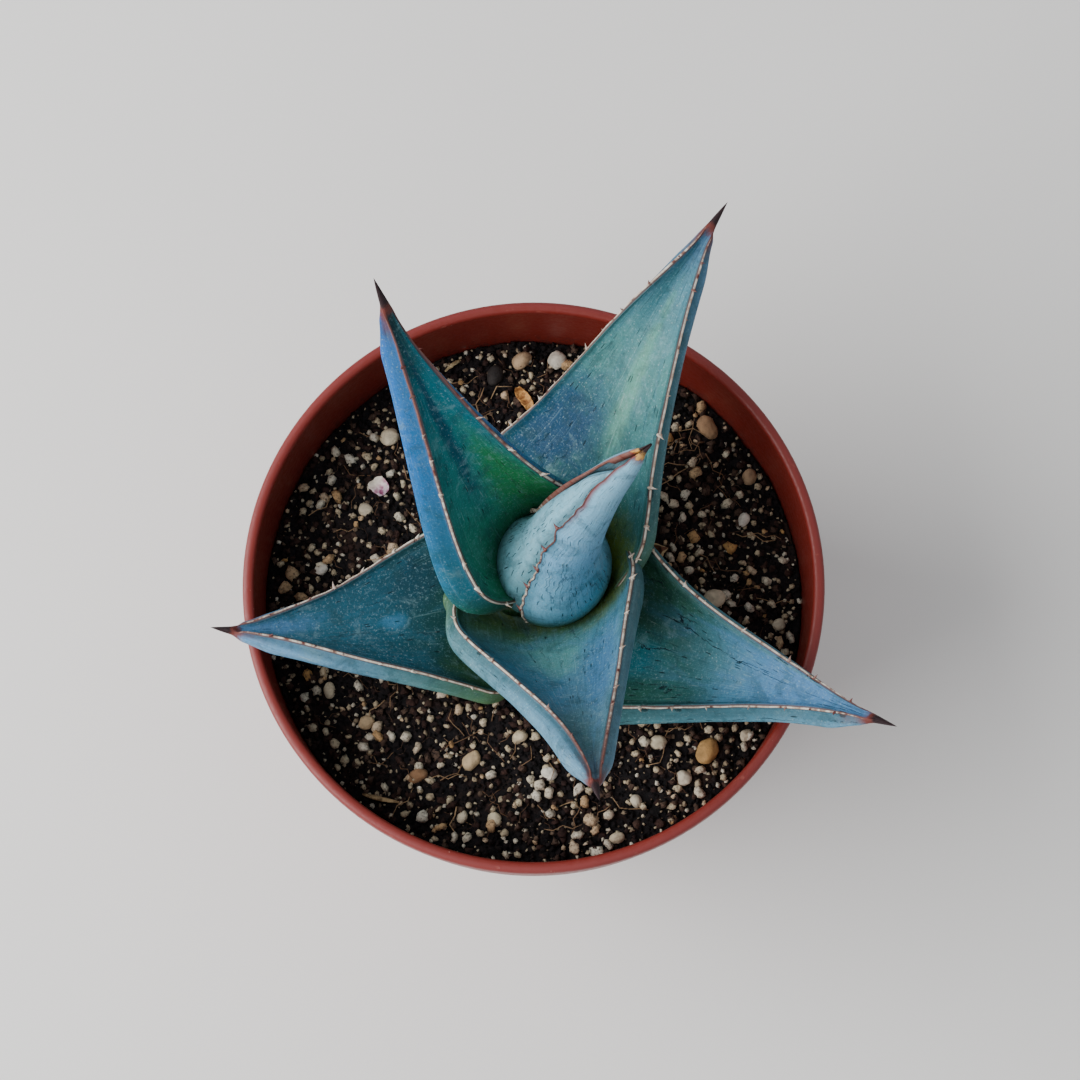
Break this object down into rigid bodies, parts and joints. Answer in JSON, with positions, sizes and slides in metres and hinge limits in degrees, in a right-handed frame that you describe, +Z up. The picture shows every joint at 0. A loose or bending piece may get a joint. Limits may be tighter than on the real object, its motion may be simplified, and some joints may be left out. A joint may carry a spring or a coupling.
{
  "type": "potted agave",
  "caption": "Young blue agave with broad toothed, spine-tipped leaves round a rolled bud, growing in gritty soil in a round terracotta-coloured plastic nursery pot.",
  "frame": {"origin": "centre of the pot's flat underside", "axes": "+Z up through the plant, -Y towards the front leaf, +X towards the right-hand low leaf"},
  "size_m": [0.1357, 0.129, 0.1712],
  "materials": {
    "pot": "satin",
    "soil": "matte",
    "stem": "matte",
    "leaf_left": "satin",
    "leaf_front": "satin",
    "leaf_back": "satin",
    "leaf_west": "satin",
    "leaf_east": "satin",
    "bud_outer_leaf": "satin",
    "bud_inner_leaf": "satin",
    "dry_leaf_base": "matte",
    "grain_01": "matte",
    "grain_02": "matte",
    "grain_03": "matte",
    "grain_04": "matte",
    "grain_05": "matte",
    "grain_06": "matte",
    "grain_07": "matte",
    "grain_08": "matte",
    "grain_09": "matte",
    "grain_10": "matte",
    "grain_11": "matte",
    "grain_12": "matte",
    "grain_13": "matte",
    "grain_14": "matte",
    "grain_15": "matte",
    "grain_16": "matte",
    "grain_17": "matte",
    "grain_18": "matte",
    "grain_19": "matte",
    "grain_20": "matte",
    "grain_21": "matte",
    "grain_22": "matte",
    "grain_23": "matte",
    "grain_24": "matte",
    "grain_25": "matte",
    "amber_curl": "satin",
    "petal_scrap": "matte",
    "straw_back": "matte",
    "straw_front": "matte"
  },
  "bodies": {
    "root": {"pot": "pot", "soil": "soil", "stem": "stem", "leaf_left": "leaf_left", "leaf_front": "leaf_front", "leaf_back": "leaf_back", "leaf_west": "leaf_west", "leaf_east": "leaf_east", "bud_outer_leaf": "bud_outer_leaf", "bud_inner_leaf": "bud_inner_leaf", "dry_leaf_base": "dry_leaf_base", "grain_01": "grain_01", "grain_02": "grain_02", "grain_03": "grain_03", "grain_04": "grain_04", "grain_05": "grain_05", "grain_06": "grain_06", "grain_07": "grain_07", "grain_08": "grain_08", "grain_09": "grain_09", "grain_10": "grain_10", "grain_11": "grain_11", "grain_12": "grain_12", "grain_13": "grain_13", "grain_14": "grain_14", "grain_15": "grain_15", "grain_16": "grain_16", "grain_17": "grain_17", "grain_18": "grain_18", "grain_19": "grain_19", "grain_20": "grain_20", "grain_21": "grain_21", "grain_22": "grain_22", "grain_23": "grain_23", "grain_24": "grain_24", "grain_25": "grain_25", "amber_curl": "amber_curl", "petal_scrap": "petal_scrap", "straw_back": "straw_back", "straw_front": "straw_front"}
  },
  "joints": []
}
